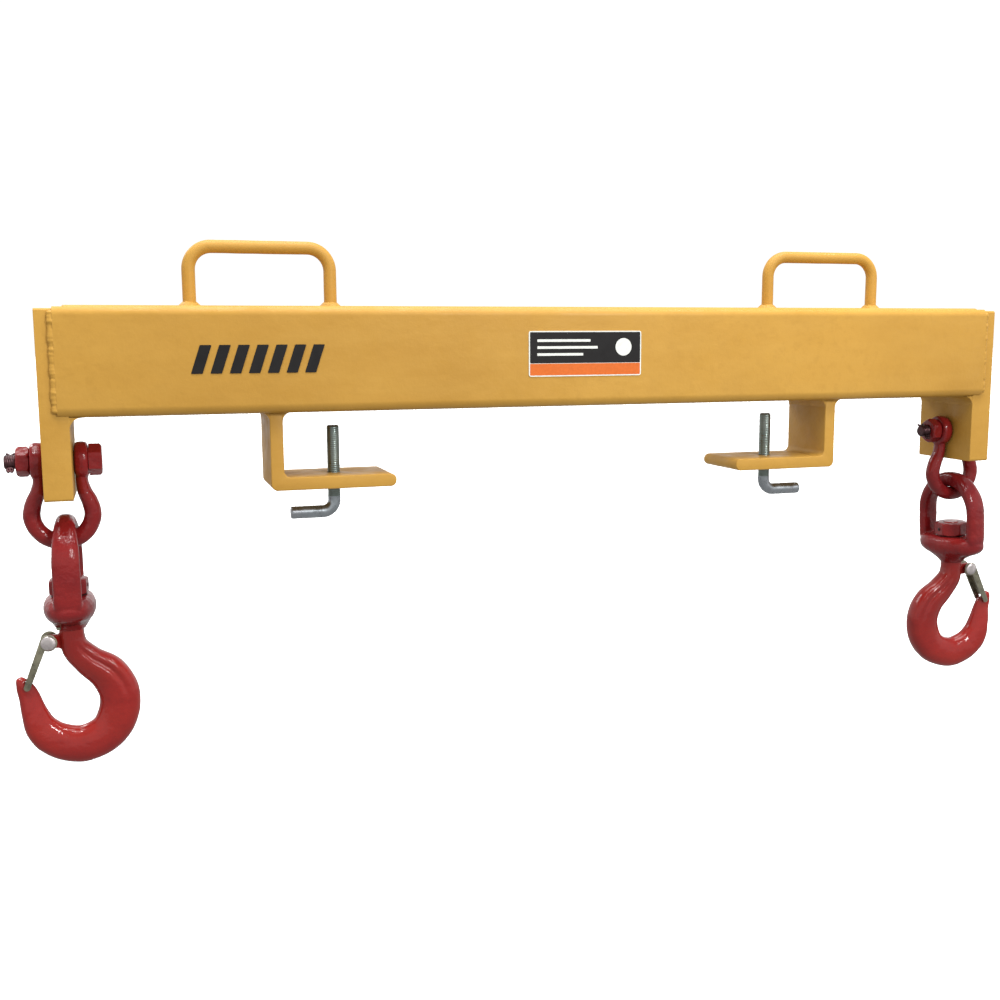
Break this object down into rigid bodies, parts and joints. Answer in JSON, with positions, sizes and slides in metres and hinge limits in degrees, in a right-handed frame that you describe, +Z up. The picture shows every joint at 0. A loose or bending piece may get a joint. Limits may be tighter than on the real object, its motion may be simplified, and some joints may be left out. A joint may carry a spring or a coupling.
{
  "type": "fork-mounted spreader beam",
  "caption": "Square-tube lifting beam with lift handles, fork brackets with clamp screws, and a shackle and latched swivel hook under each end lug.",
  "frame": {"origin": "centre of the tube's flat underside, the plane that the fork tines lift against", "axes": "+X along the beam towards the end whose hook points right in front view, +Y away from the placard face, +Z up"},
  "size_m": [1.1303, 0.1025, 0.504],
  "materials": {
    "yellow_paint": "satin enamel over steel",
    "red_paint": "gloss enamel over forged steel",
    "zinc_steel": "bright zinc plate",
    "yellow_zinc": "yellow zinc plate",
    "dark_steel": "dark oiled steel",
    "placard_film": "printed film"
  },
  "bodies": {
    "beam": {"beam_tube": "yellow_paint", "info_placard": "placard_film", "left_end_lug": "yellow_paint", "left_handle": "yellow_paint", "left_fork_bracket": "yellow_paint", "left_bracket_weld_outer": "yellow_paint", "left_bracket_weld_inner": "yellow_paint", "left_handle_weld_inner": "yellow_paint", "left_handle_weld_outer": "yellow_paint", "left_lug_weld_front": "yellow_paint", "left_lug_weld_back": "yellow_paint", "left_lug_weld_bottom": "yellow_paint", "left_lug_weld_top": "yellow_paint", "right_end_lug": "yellow_paint", "right_handle": "yellow_paint", "right_fork_bracket": "yellow_paint", "right_bracket_weld_outer": "yellow_paint", "right_bracket_weld_inner": "yellow_paint", "right_handle_weld_inner": "yellow_paint", "right_handle_weld_outer": "yellow_paint", "right_lug_weld_front": "yellow_paint", "right_lug_weld_back": "yellow_paint", "right_lug_weld_bottom": "yellow_paint", "right_lug_weld_top": "yellow_paint"},
    "left_screw": {"left_clamp_screw": "zinc_steel"},
    "left_shackle": {"left_shackle_bow": "red_paint", "left_shackle_bolt": "red_paint", "left_shackle_nut": "red_paint", "left_shackle_cotter": "dark_steel"},
    "left_bail": {"left_swivel_bail": "red_paint"},
    "left_swivel_hook": {"left_hook": "red_paint", "left_swivel_nut": "red_paint", "left_nut_pin": "dark_steel", "left_thrust_washer": "zinc_steel", "left_latch_pin": "zinc_steel", "left_latch_spring": "dark_steel"},
    "left_spring_latch": {"left_latch": "yellow_zinc"},
    "right_screw": {"right_clamp_screw": "zinc_steel"},
    "right_shackle": {"right_shackle_bow": "red_paint", "right_shackle_bolt": "red_paint", "right_shackle_nut": "red_paint", "right_shackle_cotter": "dark_steel"},
    "right_bail": {"right_swivel_bail": "red_paint"},
    "right_swivel_hook": {"right_hook": "red_paint", "right_swivel_nut": "red_paint", "right_nut_pin": "dark_steel", "right_thrust_washer": "zinc_steel", "right_latch_pin": "zinc_steel", "right_latch_spring": "dark_steel"},
    "right_spring_latch": {"right_latch": "yellow_zinc"}
  },
  "joints": [
    {"name": "left_screw_travel", "type": "slide", "parent": "beam", "child": "left_screw", "axis": [0, 0, 1], "range_m": [-0.047, 0.014]},
    {"name": "left_shackle_swing", "type": "hinge", "parent": "beam", "child": "left_shackle", "pos_m": [-0.508, 0, -0.0425], "axis": [1, 0, 0], "range_deg": [-35, 35]},
    {"name": "left_bail_swing", "type": "hinge", "parent": "left_shackle", "child": "left_bail", "pos_m": [-0.506, 0, -0.1027], "axis": [0, 1, 0], "range_deg": [-60, 60]},
    {"name": "left_hook_swivel", "type": "hinge", "parent": "left_bail", "child": "left_swivel_hook", "pos_m": [-0.506, 0, -0.19], "axis": [0, 0, 1], "continuous": true},
    {"name": "left_latch_hinge", "type": "hinge", "parent": "left_swivel_hook", "child": "left_spring_latch", "pos_m": [-0.527, 0, -0.2165], "axis": [0, -1, 0], "range_deg": [0, 50], "stiffness_Nm_per_rad": 0.1, "springref_deg": -20.05},
    {"name": "right_screw_travel", "type": "slide", "parent": "beam", "child": "right_screw", "axis": [0, 0, 1], "range_m": [-0.047, 0.014]},
    {"name": "right_shackle_swing", "type": "hinge", "parent": "beam", "child": "right_shackle", "pos_m": [0.508, 0, -0.0425], "axis": [1, 0, 0], "range_deg": [-35, 35]},
    {"name": "right_bail_swing", "type": "hinge", "parent": "right_shackle", "child": "right_bail", "pos_m": [0.508, 0, -0.1027], "axis": [-0.1736, 0.9848, 0], "range_deg": [-60, 60]},
    {"name": "right_hook_swivel", "type": "hinge", "parent": "right_bail", "child": "right_swivel_hook", "pos_m": [0.5143, 0.00111, -0.18977], "axis": [-0.0721, -0.0127, 0.9973], "continuous": true},
    {"name": "right_latch_hinge", "type": "hinge", "parent": "right_swivel_hook", "child": "right_spring_latch", "pos_m": [0.5371, -0.00003, -0.2147], "axis": [0.0691, 0.9975, 0.0177], "range_deg": [0, 50], "stiffness_Nm_per_rad": 0.1, "springref_deg": -20.05}
  ]
}
